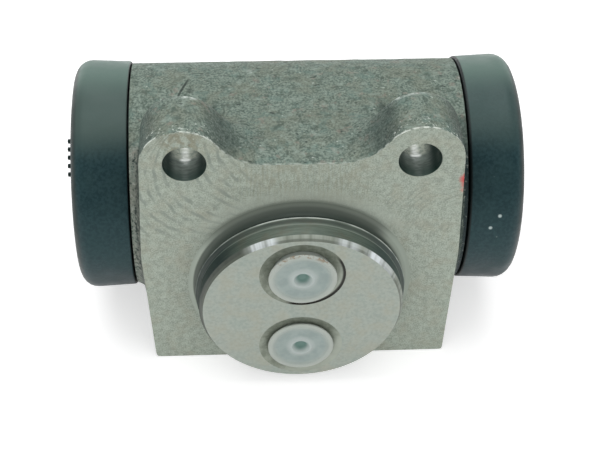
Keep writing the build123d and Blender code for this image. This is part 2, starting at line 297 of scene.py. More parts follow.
# Sand moulds leave every inner corner rounded: the skin moves out where it is hollow, and stays elsewhere.
before = skin.copy()
for _ in range(filling_rounds):
    hollow = np.clip((pull(skin) * outward).sum(1), 0, None)
    skin += (filling_pace * cast_back * hollow)[:, None] * outward
filled = ((skin - before) * outward).sum(1)
for _ in range(skin_rounds):
    skin += skin_pace * cast_back[:, None] * pull(skin)
swells = 0.05 * lumps(skin, size=2.6, seed=1) + 0.03 * lumps(skin, size=1.1, seed=2)
skin += (cast_back * swells)[:, None] * outward
# The walls of the fixing holes are set back to true circles.
on_wall = (from_bolt > bolt_radius - 0.5) & (from_bolt < bolt_radius + 0.4) & (skin_y < pad_thickness - 0.5)
hole_middle = np.stack([np.sign(skin_x) * bolt_side, np.full(len(skin), bolt_height)], axis=1)
arm = skin[:, [0, 2]] - hole_middle
true_wall = hole_middle + arm * (bolt_radius / np.maximum(np.linalg.norm(arm, axis=1), 1e-6))[:, None]
skin[:, [0, 2]] = np.where(on_wall[:, None], true_wall, skin[:, [0, 2]])
skin[:, 2] = np.clip(skin_z, cad_box[0][2] * 1000, None)
fine_mesh.vertices.foreach_set("co", (skin / 1000).ravel())
# Painted shade lies in the filled corners, on what faces sideways and by the right boot, whose lip paints a shadow
# on the barrel too.
side_shade = as_cast * ramp(to_side, 0.3, 0.85) * np.where(skin_x > 0, 0.75, 0.6)
by_boot = 0.8 * ramp(skin_x, 22.3, 23.5) * ramp(skin_y, 14.0, 10.0)
keep_shade("painted_corner_shade", np.clip(filled + side_shade + by_boot, 0, 1))
keep_shade("lip_shade", (
    ramp(skin_x, 22.9, 23.5) * ramp(to_side, 0.7, 0.3) * ramp(skin_y, 12.0, 7.0) * ramp(skin_z, 21.0, 17.0)
))

shaped = bmesh.new()
shaped.from_mesh(fine_mesh)
cut_flat(shaped, (0, 0, 0), (0, -1, 0))
cut_flat(shaped, (barrel_end, 0, 0), (1, 0, 0))
cut_flat(shaped, (-barrel_end, 0, 0), (-1, 0, 0))
casting_mesh = bpy.data.meshes.new("housing_casting")
shaped.to_mesh(casting_mesh)
shaped.free()
bpy.data.meshes.remove(fine_mesh)


def new_finish(name, **even):
    """A material and its node tree, with the values that are the same all over set on its main shader."""
    finish = bpy.data.materials.new(name)
    finish.use_nodes = True
    surface = finish.node_tree.nodes["Principled BSDF"]
    for socket, value in even.items():
        surface.inputs[socket.replace("_", " ")].default_value = value
    return finish, finish.node_tree


def own_place(tree):
    """Where a point lies on its piece, in mm, as one vector and as its X, Y and Z."""
    metres = lay_node(tree, "ShaderNodeTexCoord").outputs["Object"]
    place = lay_node(tree, "ShaderNodeVectorMath", {"operation": "SCALE"}, _0=metres, Scale=1000.0).outputs[0]
    return place, *lay_node(tree, "ShaderNodeSeparateXYZ", Vector=place).outputs


def clouds(tree, place, size, detail=3.0):
    """A cloudy pattern from 0 to 1 whose patches are about the given size in mm."""
    return lay_node(
        tree, "ShaderNodeTexNoise", Vector=place, Scale=1 / size, Detail=detail, Roughness=0.6
    ).outputs[0]


def drawn_out(tree, place, *shares):
    """Places for a pattern that is drawn out along X, Y or Z: each of them counts by its own share."""
    return lay_node(tree, "ShaderNodeMapping", Vector=place, Scale=shares).outputs[0]


def together(tree, *shares):
    """The product of several shares."""
    product = shares[0]
    for share in shares[1:]:
        product = reckon(tree, "MULTIPLY", product, share)
    return product


def total(tree, *parts):
    """The sum of several values, each times its own factor."""
    sum_so_far = 0.0
    for value, factor in parts:
        sum_so_far = reckon(tree, "ADD", sum_so_far, reckon(tree, "MULTIPLY", value, factor))
    return sum_so_far


def band(tree, value, start, full, last, end):
    """One between full and last, falling to nought at the start before it and at the end after it."""
    return together(tree, slope(tree, value, start, full), slope(tree, value, end, last))


def near(tree, place, spot, reach):
    """One within a third of the reach round a spot in mm, falling to nought at the reach."""
    gap = lay_node(tree, "ShaderNodeVectorMath", {"operation": "DISTANCE"}, _0=place, _1=spot).outputs["Value"]
    return slope(tree, gap, reach, reach / 3)


def off_axis(tree, first, second):
    """The distance from an axis: the root of the sum of the squares of two distances square to it."""
    return reckon(tree, "SQRT", total(tree, (first, first), (second, second)))


def tone(colour):
    """A colour from the three eight-bit values that it has on a screen. One that nodes give stays as it is."""
    if isinstance(colour, bpy.types.NodeSocket):
        return colour
    shares = (np.array(colour) / 255 + 0.055) / 1.055
    return (*(shares ** 2.4).tolist(), 1.0)


def layered(tree, colour, *layers):
    """Colours laid over one another, each as far as the share from 0 to 1 before it says."""
    for share, upper in layers:
        colour = lay_node(
            tree, "ShaderNodeMix", {"data_type": "RGBA"}, _0=share, _6=tone(colour), _7=tone(upper)
        ).outputs[2]
    return colour


def connect(tree, colour, roughness, height, depth):
    """Gives the main shader its colour, its roughness and a relief of the given depth in mm."""
    surface = tree.nodes["Principled BSDF"]
    tree.links.new(colour, surface.inputs["Base Color"])
    tree.links.new(roughness, surface.inputs["Roughness"])
    relief = lay_node(tree, "ShaderNodeBump", Height=height, Distance=depth / 1000, Strength=1.0)
    tree.links.new(relief.outputs[0], surface.inputs["Normal"])


# Sand skin: grey-green and finely speckled with small dark pits and pale flecks, the flecks partly painted sparkle,
# with painted shade in the inner corners. A bright broken burr, partly a painted edge highlight, stands along the
# milled rim, the ears' back rims carry a painted highlight, and a dark scratch lies behind one.
cast_skin, tree = new_finish("cast_skin", Metallic=0.1, Specular_IOR_Level=0.3)
place, x, y, z = own_place(tree)
from_middle = reckon(tree, "ABSOLUTE", x)
sand, grit, drift = clouds(tree, place, 0.34), clouds(tree, place, 1.3, 4.0), clouds(tree, place, 6.0)
flat_place = drawn_out(tree, place, 0.6, 1.0, 1.0)
pits = slope(tree, clouds(tree, flat_place, 0.75, 1.0), 0.31, 0.25, 0.0, 0.8)
# Pale flecks, which also paint the sparkle of the metal's grains.
flecks = slope(tree, clouds(tree, flat_place, 0.6, 1.0), 0.73, 0.79, 0.0, 0.7)
# Painted shade, read from the skin: darker in the filled corners, on the sides and by the right boot.
corner_shade_share = lay_node(tree, "ShaderNodeAttribute", {"attribute_name": "painted_corner_shade"}).outputs["Fac"]
painted_shade = together(tree, slope(tree, corner_shade_share, 0.05, 0.85, 0.0, 0.85), slope(tree, sand, 0.25, 0.6, 1.0, 0.75))
chipped = slope(tree, clouds(tree, place, 1.1, 2.0), 0.38, 0.6)
# The bright burr along the milled rim is bare metal and also a painted highlight on that edge.
burr_and_highlight = together(tree, slope(tree, y, 0.46, 0.10), chipped, slope(tree, from_middle, 9.0, 15.0, 0.35, 1.0))
knocks = slope(tree, clouds(tree, place, 0.45, 2.0), 0.60, 0.70)
knocks = together(tree, slope(tree, y, 3.5, 0.6), slope(tree, z, 26.5, 29.0), knocks)
left_ear = slope(tree, reckon(tree, "ABSOLUTE", reckon(tree, "ADD", x, 16.2)), 1.9, 1.0)
right_ear = together(tree, slope(tree, x, 12.0, 13.5), slope(tree, x, 17.5, 16.0, 0.15, 0.75))
# A painted highlight on the ears' back rims.
back_rim_highlight = together(
    tree, band(tree, y, 7.1, 7.7, 8.3, 8.8), slope(tree, z, 28.0, 29.2),
    reckon(tree, "MAXIMUM", left_ear, right_ear), chipped,
)
scratch_lean, scratch_start = math.radians(21.69), 22.502
from_scratch = total(tree, (x, math.cos(scratch_lean)), (y, -math.sin(scratch_lean)), (scratch_start, 1.0))
scratch = slope(tree, reckon(tree, "ABSOLUTE", from_scratch), 0.241, 0.080, 0.0, 0.75)
scratch_spots = ((-16.9, 18.6, 23.1), (-16.5, 19.6, 23.1), (-17.4, 17.4, 23.1))
nick = together(tree, near(tree, place, (-15.7, 17.8, 23.1), 0.8), slope(tree, grit, 0.60, 0.45, 0.3, 0.8))
pad_front = slope(tree, y, 10.0, 8.0)
flank = together(tree, slope(tree, from_middle, 22.8, 23.4), pad_front)
spots = clouds(tree, place, 0.55, 2.0)
# Lighter in patches low on the pad's left side.
pale_patches = together(
    tree, slope(tree, x, -23.0, -23.6), slope(tree, z, 24.0, 21.5), slope(tree, spots, 0.42, 0.5, 0.0, 0.4),
    pad_front,
)
lip = lay_node(tree, "ShaderNodeAttribute", {"attribute_name": "lip_shade"}).outputs["Fac"]
colour = layered(
    tree, (80, 95, 86),
    (slope(tree, sand, 0.3, 0.7), (127, 142, 131)),
    (slope(tree, drift, 0.42, 0.62, 0.0, 0.4), (114, 117, 101)),
    (slope(tree, clouds(tree, place, 2.4), 0.52, 0.64, 0.0, 0.45), (93, 118, 110)),
    (slope(tree, clouds(tree, place, 1.9), 0.60, 0.68, 0.0, 0.5), (134, 126, 116)),
    (slope(tree, grit, 0.46, 0.33, 0.0, 0.65), (66, 80, 72)),
    (slope(tree, grit, 0.55, 0.68, 0.0, 0.6), (140, 154, 144)),
    (pits, (46, 58, 53)),
    (flecks, (190, 200, 192)),
    # Painted shade in the corners, on the sides and by the right boot.
    (painted_shade, (52, 65, 60)),
    (burr_and_highlight, (214, 221, 212)),
    (knocks, (206, 214, 206)),
    (back_rim_highlight, (200, 210, 203)),
    *((together(tree, scratch, near(tree, place, spot, 1.6)), (38, 48, 44)) for spot in scratch_spots),
    (nick, (58, 70, 64)),
    (together(tree, flank, slope(tree, spots, 0.45, 0.38, 0.0, 0.7)), (38, 46, 43)),
    (together(tree, flank, slope(tree, spots, 0.60, 0.68, 0.0, 0.6)), (170, 176, 166)),
    (pale_patches, (146, 147, 138)),
    (together(tree, lip, slope(tree, spots, 0.64, 0.58, 0.45, 0.85)), (20, 38, 42)),
)
connect(tree, colour, slope(tree, sand, 0.3, 0.7, 0.78, 0.5), total(tree, (sand, 0.5), (grit, 1.0)), 0.12)


# Milled face: pale and finely mottled, with faint bowed cutter marks round both ears, fine upright scratches
# between them, a brown stain on one ear and a few specks of red paint at the other's edge. Above the spigot
# it carries a painted pool of light, and painted shade at the hollow's edge.
def cutter_marks(tree, place, x, z, feed, line, cutter, pitch):
    """Bowed marks of a round cutter fed along a straight line, at an angle in degrees: across it they follow
    the cutter's circle, so a mark's place along the feed has the circle's own bow added, which is the root of
    the cutter's radius squared less the distance from the line squared. A wave over it gives thin dark lines."""
    lean, rise = math.cos(math.radians(feed)), math.sin(math.radians(feed))
    across = reckon(tree, "SUBTRACT", total(tree, (z, lean), (x, -rise)), line)
    bow = reckon(tree, "SUBTRACT", cutter ** 2, reckon(tree, "MULTIPLY", across, across))
    bow = reckon(tree, "SQRT", reckon(tree, "MAXIMUM", bow, 0.0))
    mark = total(tree, (x, lean), (z, rise), (bow, 1.0), (clouds(tree, place, 4.0, 2.0), 1.6))
    return slope(tree, reckon(tree, "SINE", reckon(tree, "MULTIPLY", mark, 2 * math.pi / pitch)), 0.0, 1.0)


milled_iron, tree = new_finish("milled_iron", Metallic=0.2, Specular_IOR_Level=0.4)
place, x, _, z = own_place(tree)
feed_angle = 35.52
upper = slope(tree, z, 8.0, 13.0)
faint = slope(tree, clouds(tree, place, 3.0, 2.0), 0.38, 0.62, 0.05, 0.75)
marks_left = cutter_marks(tree, place, x, z, feed=feed_angle, line=23.9, cutter=11.4, pitch=1.5)
marks_left = together(tree, marks_left, upper, slope(tree, x, -4.0, -10.0), faint)
marks_right = cutter_marks(tree, place, x, z, feed=-feed_angle, line=22.4, cutter=9.0, pitch=0.9)
marks_right = together(tree, marks_right, upper, slope(tree, x, 9.0, 13.0), faint)
marks = total(tree, (marks_left, 1.0), (marks_right, 0.45))
scratches = slope(tree, clouds(tree, drawn_out(tree, place, 1.0, 1.0, 0.10), 0.32, 1.0), 0.45, 0.62, 0.0, 0.315)
scratches = together(tree, scratches, band(tree, x, -12.0, -6.0, 6.0, 12.0), slope(tree, z, 15.5, 17.5))
mottle = total(tree, (clouds(tree, place, 0.22), 0.6), (clouds(tree, place, 1.0, 4.0), 0.4))
from_spigot = off_axis(tree, x, z)
above_spigot = slope(tree, z, 8.0, 14.0)
# A painted pool of light on the face just above the spigot.
light_above_spigot = together(tree, slope(tree, from_spigot, 20.5, 18.2, 0.0, 0.45), above_spigot)
# Painted shade on the face at the edge of the hollow above the spigot.
rounded = slope(tree, from_spigot, 17.6, 16.7, 0.0, 0.8)
rounded = together(tree, rounded, above_spigot, slope(tree, x, 15.0, 11.0))
blotch = slope(tree, clouds(tree, place, 1.2), 0.42, 0.58, 0.0, 0.6)
stain = together(tree, near(tree, place, (-16.8, 0.0, 28.6), 4.2), blotch)
paint_cover = slope(tree, mottle, 0.35, 0.5, 0.3, 0.9)
paint_flakes = (
    ((23.4, 0.0, 23.0), 0.5, (112, 32, 34)), ((23.4, 0.0, 22.3), 0.5, (150, 52, 52)),
    ((23.35, 0.0, 21.5), 0.7, (176, 84, 80)), ((23.35, 0.0, 20.6), 1.3, (200, 56, 58)),
    ((23.2, 0.0, 19.5), 0.7, (184, 110, 104)), ((23.1, 0.0, 18.5), 0.6, (180, 136, 126)),
    ((23.2, 0.0, 23.9), 0.5, (232, 236, 230)),
)
colour = layered(
    tree, (134, 143, 131),
    (slope(tree, mottle, 0.36, 0.64), (170, 180, 167)),
    (slope(tree, clouds(tree, place, 3.2), 0.42, 0.7, 0.0, 0.35), (150, 147, 128)),
    (slope(tree, clouds(tree, place, 1.1), 0.38, 0.28, 0.0, 0.6), (118, 124, 114)),
    (marks, (120, 130, 121)),
    (scratches, (126, 126, 106)),
    (light_above_spigot, (178, 186, 174)),
    (rounded, (106, 114, 104)),
    (stain, (118, 112, 88)),
    *((together(tree, near(tree, place, spot, reach), paint_cover), paint)
      for spot, reach, paint in paint_flakes),
)
connect(tree, colour, slope(tree, mottle, 0.3, 0.7, 0.55, 0.38), marks, -0.02)

# Drilled walls: bare metal, with a painted dark rim by the mouth, painted pale light from half way down with one
# bright painted beam, where light comes in from behind, and painted shade down both sides.
drilled_iron, tree = new_finish("drilled_iron", Metallic=0.3, Specular_IOR_Level=0.5)
place, x, y, _ = own_place(tree)
rings, blotches = clouds(tree, drawn_out(tree, place, 0.3, 1.0, 0.3), 0.3), clouds(tree, place, 0.6, 4.0)
deep_light = together(tree, slope(tree, y, 4.0, 5.0), slope(tree, blotches, 0.4, 0.56, 0.35, 0.95))
aside = reckon(tree, "ABSOLUTE", reckon(tree, "SUBTRACT", reckon(tree, "ABSOLUTE", x), bolt_side))
glint_streak = together(tree, band(tree, y, 4.0, 4.3, 4.5, 4.8), slope(tree, aside, 1.0, 0.4))
beam = together(
    tree, slope(tree, y, 3.0, 5.0, 0.12, 0.9), slope(tree, aside, 0.8, 0.1), slope(tree, rings, 0.4, 0.6, 0.4, 0.8),
)
# Painted shade by the mouth and down both sides, painted light deep in the hole, and a painted streak and beam.
colour = layered(
    tree, (96, 110, 102),
    (slope(tree, rings, 0.3, 0.7), (122, 136, 127)),
    (slope(tree, y, 2.8, 0.6), (78, 98, 90)),
    (deep_light, (166, 174, 158)),
    (reckon(tree, "MAXIMUM", glint_streak, beam), (246, 250, 246)),
    (slope(tree, aside, 1.2, 2.6), (10, 48, 42)),
)
connect(tree, colour, slope(tree, rings, 0.3, 0.7, 0.45, 0.3), rings, 0.01)

for finish in (cast_skin, milled_iron, drilled_iron):
    casting_mesh.materials.append(finish)
middle_x, middle_y, middle_z = (read(casting_mesh.polygons, "center") * 1000).T
in_hole = np.hypot(np.abs(middle_x) - bolt_side, middle_z - bolt_height) < bolt_radius + 0.1
in_bore = np.hypot(middle_y - bore_depth, middle_z - bore_height) < bore_radius + 0.3
cast, milled, drilled = range(3)
kinds = np.where((in_hole & (middle_y < pad_thickness + 0.2)) | in_bore, drilled, cast)
kinds = np.where(np.abs(middle_y) < hairs_breadth, milled, kinds)
casting_mesh.polygons.foreach_set("material_index", kinds)
shade(casting_mesh, casting_crease)
housing_casting = put("housing_casting", casting_mesh)
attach(housing_casting, "housing")
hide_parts("housing")


# The spigot is turned on the same casting, with a chamfered rim and a sharp crest above the hollow at its root.
# Two ports are drilled in its flat face, each with a shallow countersink.
spigot_front, spigot_inside, pad_bottom = -5.85, 2.0, -16.4
rim_radius, drum_radius, root_radius, buried_radius, hollow_round = 14.65, 15.2, 16.8, 16.6, 1.6
port_side, port_radius, mouth_radius, mouth_slope = 7.65, 4.45, 6.3, 0.48
wall_around, port_around, hollow_steps, spigot_crease = 360, 144, 13, 25


def ring_faces(rings, around):
    """Triangles of a skin over rings of corners, ring after ring, that closes up on itself round each ring."""
    ring, corner = np.meshgrid(np.arange(rings - 1), np.arange(around), indexing="ij")
    here = ring * around + corner
    beside = ring * around + (corner + 1) % around
    lower = np.stack([here, beside, beside + around], axis=-1)
    upper = np.stack([here, beside + around, here + around], axis=-1)
    return np.concatenate([lower.reshape(-1, 3), upper.reshape(-1, 3)])


def turned(profile, middle, around):
    """A profile of (depth, radius) carried round an axis along Y: each corner lands at the middle, plus its
    depth along the axis, plus its radius times the cosine and sine of the turn across it."""
    turn = np.linspace(0, 2 * np.pi, around, endpoint=False)
    depth, radius = np.array(profile, float).T
    corners = np.empty((len(profile), around, 3))
    corners[..., 0] = middle[0] + radius[:, None] * np.cos(turn)
    corners[..., 1] = middle[1] + depth[:, None]
    corners[..., 2] = middle[2] + radius[:, None] * np.sin(turn)
    return corners.reshape(-1, 3), ring_faces(len(profile), around)


def outside_out(corners, triangles):
    """Turns a closed skin right side out: the volume under its triangles, seen from the origin, is above nought."""
    a, b, c = (corners[triangles[:, k]] for k in range(3))
    return triangles if (a * np.cross(b, c)).sum() > 0 else triangles[:, ::-1]


def skins_together(*skins):
    """Several skins as one, with the corners that they share made one."""
    starts = np.cumsum([0] + [len(corners) for corners, _ in skins[:-1]])
    return joined(
        np.concatenate([corners for corners, _ in skins]),
        np.concatenate([triangles + start for (_, triangles), start in zip(skins, starts)]),
    )


def pierced_flat(depth, outer_radius, port_rim):
    """A flat face at one depth: triangles that fill the outer circle up to the circles of both ports."""
    rims, edges, start = [], [], 0
    for middle, radius, around in (
        (0, outer_radius, wall_around), (port_side, port_rim, port_around), (-port_side, port_rim, port_around),
    ):
        turn = np.linspace(0, 2 * np.pi, around, endpoint=False)
        across, up = radius * np.cos(turn), middle + radius * np.sin(turn)
        rims.append(np.stack([across, np.full(around, depth), up], axis=1))
        edges.append(np.stack([(np.arange(around) - 1) % around, np.arange(around)], axis=1) + start)
        start += around
    outline = bpy.data.meshes.new("outline")
    outline.from_pydata(np.concatenate(rims).tolist(), np.concatenate(edges).tolist(), [])
    flat = bmesh.new()
    flat.from_mesh(outline)
    bmesh.ops.triangle_fill(flat, edges=flat.edges[:], use_beauty=True, use_dissolve=False, normal=(0, -1, 0))
    flat.to_mesh(outline)
    flat.free()
    corners, triangles = read(outline.vertices, "co"), read(outline.polygons, "vertices", kind=int)
    bpy.data.meshes.remove(outline)
    return corners, triangles


hollow_turn = np.linspace(0, np.pi / 2, hollow_steps)
hollow_depth = hollow_round * np.cos(hollow_turn) - hollow_round
hollow_radius = root_radius - hollow_round * np.sin(hollow_turn)
root = [(spigot_inside, buried_radius), (0.3, root_radius), *zip(hollow_depth, hollow_radius)]
crest_edge = [(-1.9, 15.52), (-2.0, 15.70), (-2.04, 15.72), (-2.1, 15.70), (-2.4, 15.46), (-2.8, 15.22)]
drum = [(-2.85, drum_radius), (-4.94, drum_radius)]
chamfer = [(-5.02, 15.17), (-5.8, 14.70), (spigot_front, rim_radius)]
port = [
    (spigot_front, mouth_radius), (spigot_front + 0.03, mouth_radius - 0.04),
    (spigot_front + mouth_slope, port_radius + 0.06), (spigot_front + mouth_slope + 0.07, port_radius),
    (spigot_inside, port_radius),
]
corners, triangles = skins_together(
    turned(root + crest_edge + drum + chamfer, (0, 0, 0), wall_around),
    *(turned(port, (0, 0, side * port_side), port_around) for side in (1, -1)),
    pierced_flat(spigot_front, rim_radius, mouth_radius),
    pierced_flat(spigot_inside, buried_radius, port_radius),
)

# Turned walls: dark metal with fine turning rings and painted shade down both flanks. The hollow has painted shade
# that deepens towards the crest and painted light low and on its right. The crest and a fine line below it carry
# painted highlights, and the chamfer is bright where the tool chattered, with painted glints and painted shade.
turned_iron, tree = new_finish("turned_iron", Metallic=0.1, Specular_IOR_Level=0.3)
place, x, y, z = own_place(tree)
rings, blotches = clouds(tree, drawn_out(tree, place, 0.06, 1.0, 0.06), 0.2, 2.0), clouds(tree, place, 2.0)
# Painted shade down both flanks, deeper on the left.
flank_shade = layered(tree, (28, 44, 42), (slope(tree, x, -4.0, 6.0), (56, 71, 68)))
wall_tone = layered(
    tree, (80, 92, 83),
    (slope(tree, rings, 0.35, 0.65), (97, 109, 98)),
    (slope(tree, blotches, 0.45, 0.7, 0.0, 0.4), (96, 90, 76)),
    (slope(tree, z, 14.2, 9.2), flank_shade),
)
# Painted light on the hollow's lower sides and on its right.
lit_open_side = together(tree, slope(tree, z, 12.5, 6.5), slope(tree, y, -0.24, -0.10))
lit_right_side = together(
    tree, slope(tree, x, 5.0, 10.5), slope(tree, y, -0.9, -0.3, 0.0, 0.85), slope(tree, z, 11.8, 8.5),
)
# Painted shade that deepens into the hollow towards the crest.
hollow_tone = layered(
    tree, (106, 114, 104),
    (slope(tree, y, -0.02, -0.3), (84, 92, 84)),
    (slope(tree, y, -0.3, -0.9), (62, 72, 65)),
    (slope(tree, y, -1.1, -1.6), (30, 42, 40)),
    (lit_open_side, (164, 174, 162)),
    (lit_right_side, (150, 160, 148)),
)
# Painted highlights on the crest and on a fine line below it, fainter on the left, with a painted dark band
# between.
fainter_left = slope(tree, x, -14.5, -6.0, 0.35, 1.0)
patchy = slope(tree, clouds(tree, place, 2.6, 2.0), 0.35, 0.6, 0.35, 1.0)
crest = together(tree, band(tree, y, -2.22, -2.10, -2.00, -1.90), fainter_left, patchy)
under_crest = together(tree, band(tree, y, -2.75, -2.60, -2.32, -2.22), 0.6)
second_gleam = together(tree, band(tree, y, -3.05, -2.95, -2.83, -2.75), fainter_left, 0.6)
turn_of = lay_node(tree, "ShaderNodeCombineXYZ", _0=x, _2=z).outputs[0]
turn_of = lay_node(tree, "ShaderNodeVectorMath", {"operation": "NORMALIZE"}, _0=turn_of).outputs[0]
chatter = clouds(tree, turn_of, 0.1, 2.0)
# Spots where the chamfer carries painted glints.
lit_spots = (
    ((-6.0, -5.4, 13.5), 3.0, 1.0), ((10.9, -5.4, 10.4), 3.0, 0.95),
    ((6.4, -5.4, 13.5), 2.6, 0.5), ((12.7, -5.4, 7.9), 2.4, 0.4),
)
lit = 0.0
for spot, reach, part in lit_spots:
    lit = reckon(tree, "MAXIMUM", lit, together(tree, near(tree, place, spot, reach), part))
# The chamfer: chatter marks, painted shade on its left, darker towards the face, and painted glints on the chatter.
chamfer_tone = layered(
    tree, (112, 119, 108),
    (slope(tree, chatter, 0.3, 0.6), (148, 155, 145)),
    (slope(tree, x, -7.4, -9.2, 0.0, 0.9), (60, 66, 60)),
    (slope(tree, y, -5.42, -5.6, 0.0, 0.7), (92, 98, 88)),
    (together(tree, lit, slope(tree, chatter, 0.36, 0.58, 0.25, 1.0)), (226, 233, 236)),
)
colour = layered(
    tree, hollow_tone,
    (slope(tree, y, -1.85, -1.95), wall_tone),
    (crest, (188, 196, 188)),
    (under_crest, (60, 68, 62)),
    (second_gleam, (128, 138, 128)),
    (slope(tree, y, -4.95, -5.03), chamfer_tone),
)
connect(tree, colour, slope(tree, rings, 0.3, 0.7, 0.5, 0.35), rings, 0.01)

# Port walls: a brassy grey countersink with painted light low on its right, and a thin painted dark line where
# the upper port's edge lies in shade.
port_iron, tree = new_finish("port_iron", Metallic=0.3, Specular_IOR_Level=0.4)
place, x, y, z = own_place(tree)
blotches = clouds(tree, place, 0.9)
port_middle = reckon(tree, "MULTIPLY", reckon(tree, "SIGN", z), port_side)
low_right = total(tree, (x, 1.0), (z, -1.0), (port_middle, 1.0))
high_left = slope(tree, total(tree, (x, 1.0), (z, -0.8)), -4.5, -2.5)
shaded = together(tree, high_left, slope(tree, z, 0.0, 1.0), slope(tree, y, -5.68, -5.76))
colour = layered(
    tree, (120, 127, 114),
    (slope(tree, blotches, 0.35, 0.65), (142, 149, 136)),
    # Painted light low on the right of each countersink.
    (slope(tree, low_right, 0.5, 6.0, 0.0, 0.85), (168, 175, 163)),
    (shaded, (34, 34, 28)),
)
connect(tree, colour, slope(tree, blotches, 0.3, 0.7, 0.5, 0.35), blotches, 0.01)

# Turned face: pale and even, with a fine mottle and hardly visible turning rings about the spigot's axis.
faced_iron, tree = new_finish("faced_iron", Metallic=0.2, Specular_IOR_Level=0.4)
place = own_place(tree)[0]
rings = lay_node(
    tree, "ShaderNodeTexWave", {"wave_type": "RINGS", "rings_direction": "Y"},
    Vector=place, Scale=0.52, Distortion=1.2, Detail=1.0, Detail_Scale=1.5,
).outputs[1]
mottle, patches = clouds(tree, place, 0.5), clouds(tree, place, 2.6)
colour = layered(
    tree, (149, 158, 149),
    (slope(tree, mottle, 0.3, 0.7), (161, 169, 160)),
    (slope(tree, patches, 0.42, 0.66, 0.0, 0.45), (162, 161, 144)),
    (slope(tree, patches, 0.44, 0.28, 0.0, 0.4), (142, 156, 148)),
    (slope(tree, rings, 0.2, 0.8, 0.0, 0.12), (146, 154, 144)),
)
connect(tree, colour, slope(tree, mottle, 0.3, 0.7, 0.5, 0.40), mottle, 0.006)

spigot = new_piece("spigot", corners, triangles, [turned_iron, faced_iron, port_iron], spigot_crease)
shaped = bmesh.new()
shaped.from_mesh(spigot.data)
cut_flat(shaped, (0, 0, pad_bottom), (0, 0, -1))
bmesh.ops.recalc_face_normals(shaped, faces=shaped.faces[:])
shaped.to_mesh(spigot.data)
shaped.free()
shade(spigot.data, spigot_crease)
middle_x, middle_y, middle_z = (read(spigot.data.polygons, "center") * 1000).T
in_port = np.hypot(middle_x, np.abs(middle_z) - port_side) < mouth_radius
walls, face, ports = range(3)
kinds = np.where(middle_y < spigot_front + 2 * hairs_breadth, face, np.where(in_port, ports, walls))
spigot.data.polygons.foreach_set("material_index", kinds)
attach(spigot, "housing")
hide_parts("housing")


# Both ends of the barrel are turned down to a land with a groove in it, which the boot snaps over. The bore
# opens in each end with a chamfer.
def turned_across(profile, around):
    """A profile of (place along the bore, radius) carried round the bore axis: each corner lands at its place
    along X, and at its radius times the cosine and sine of the turn away from the axis."""
    turn = np.linspace(0, 2 * np.pi, around, endpoint=False)
    along, radius = np.array(profile, float).T
    corners = np.empty((len(profile), around, 3))
    corners[..., 0] = along[:, None]
    corners[..., 1] = bore_depth + radius[:, None] * np.cos(turn)
    corners[..., 2] = bore_height + radius[:, None] * np.sin(turn)
    return corners.reshape(-1, 3), ring_faces(len(profile), around)


land_start, land_end, land_radius, land_chamfer, bore_chamfer = 23.0, 31.0, 15.2, 0.4, 1.0
groove_start, groove_end, groove_radius, ring_around = 26.8, 28.4, 14.4, 192
land = [
    (land_start, bore_radius), (land_start, land_radius), (groove_start, land_radius),
    (groove_start, groove_radius), (groove_end, groove_radius), (groove_end, land_radius),
    (land_end - land_chamfer, land_radius), (land_end, land_radius - land_chamfer),
    (land_end, bore_radius + bore_chamfer), (land_end - bore_chamfer, bore_radius), (land_start, bore_radius),
]
for side, way in (("left", -1), ("right", 1)):
    corners, triangles = joined(*turned_across(np.array(land) * (way, 1), ring_around))
    piece = new_piece(f"{side}_turned_end", corners, outside_out(corners, triangles), [drilled_iron])
    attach(piece, "housing")
    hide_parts("housing")


# One steel spring in the middle of the bore holds the cups and pistons apart. It is wound from round wire, in
# two halves.
spring_radius, wire_radius, spring_half, coil_length, coil_turns = 6.1, 0.6, 8.3, 17.8, 5.5
wire_rings, wire_around = 181, 16


def coil_half(way):
    """Half the spring as a tube of wire: its middle line is a screw line of the coil's radius about the bore
    axis, and each ring of the tube stands square to that line. The last rings lie flat on the ground end."""
    turn = np.linspace(0, 1, wire_rings) * np.pi * coil_turns
    along = turn / (2 * np.pi * coil_turns) * coil_length
    line = np.stack([along, spring_radius * np.cos(turn), spring_radius * np.sin(turn)], axis=1)
    ahead = np.gradient(line, axis=0)
    ahead = ahead / np.linalg.norm(ahead, axis=1)[:, None]
    out = line * (0, 1, 1) / spring_radius
    beside = np.cross(ahead, out)
    wire_turn = np.linspace(0, 2 * np.pi, wire_around, endpoint=False)[None, :, None]
    tube = line[:, None] + wire_radius * (np.cos(wire_turn) * out[:, None] + np.sin(wire_turn) * beside[:, None])
    tube[..., 0] = np.clip(tube[..., 0], None, spring_half)
    tube = tube * (way, 1, way)
    corners = np.concatenate([tube.reshape(-1, 3), tube[0].mean(0)[None], tube[-1].mean(0)[None]])
    corners = corners + (0, bore_depth, bore_height)
    here = np.arange(wire_around)
    next_one = (here + 1) % wire_around
    last_ring = (wire_rings - 1) * wire_around
    first = np.stack([np.full(wire_around, len(corners) - 2), next_one, here], axis=1)
    last = np.stack([np.full(wire_around, len(corners) - 1), last_ring + here, last_ring + next_one], axis=1)
    return corners, np.concatenate([ring_faces(wire_rings, wire_around), first, last])


def plain_finish(name, dark, light, rough, smooth, size, detail=3.0, drawn=(1.0, 1.0, 1.0), **even):
    """A finish with one fine pattern of the given size, from dark and rough to light and smooth."""
    finish, tree = new_finish(name, **even)
    pattern = clouds(tree, drawn_out(tree, own_place(tree)[0], *drawn), size, detail)
    colour = layered(tree, dark, (slope(tree, pattern, 0.35, 0.65), light))
    connect(tree, colour, slope(tree, pattern, 0.3, 0.7, rough, smooth), pattern, 0.01)
    return finish


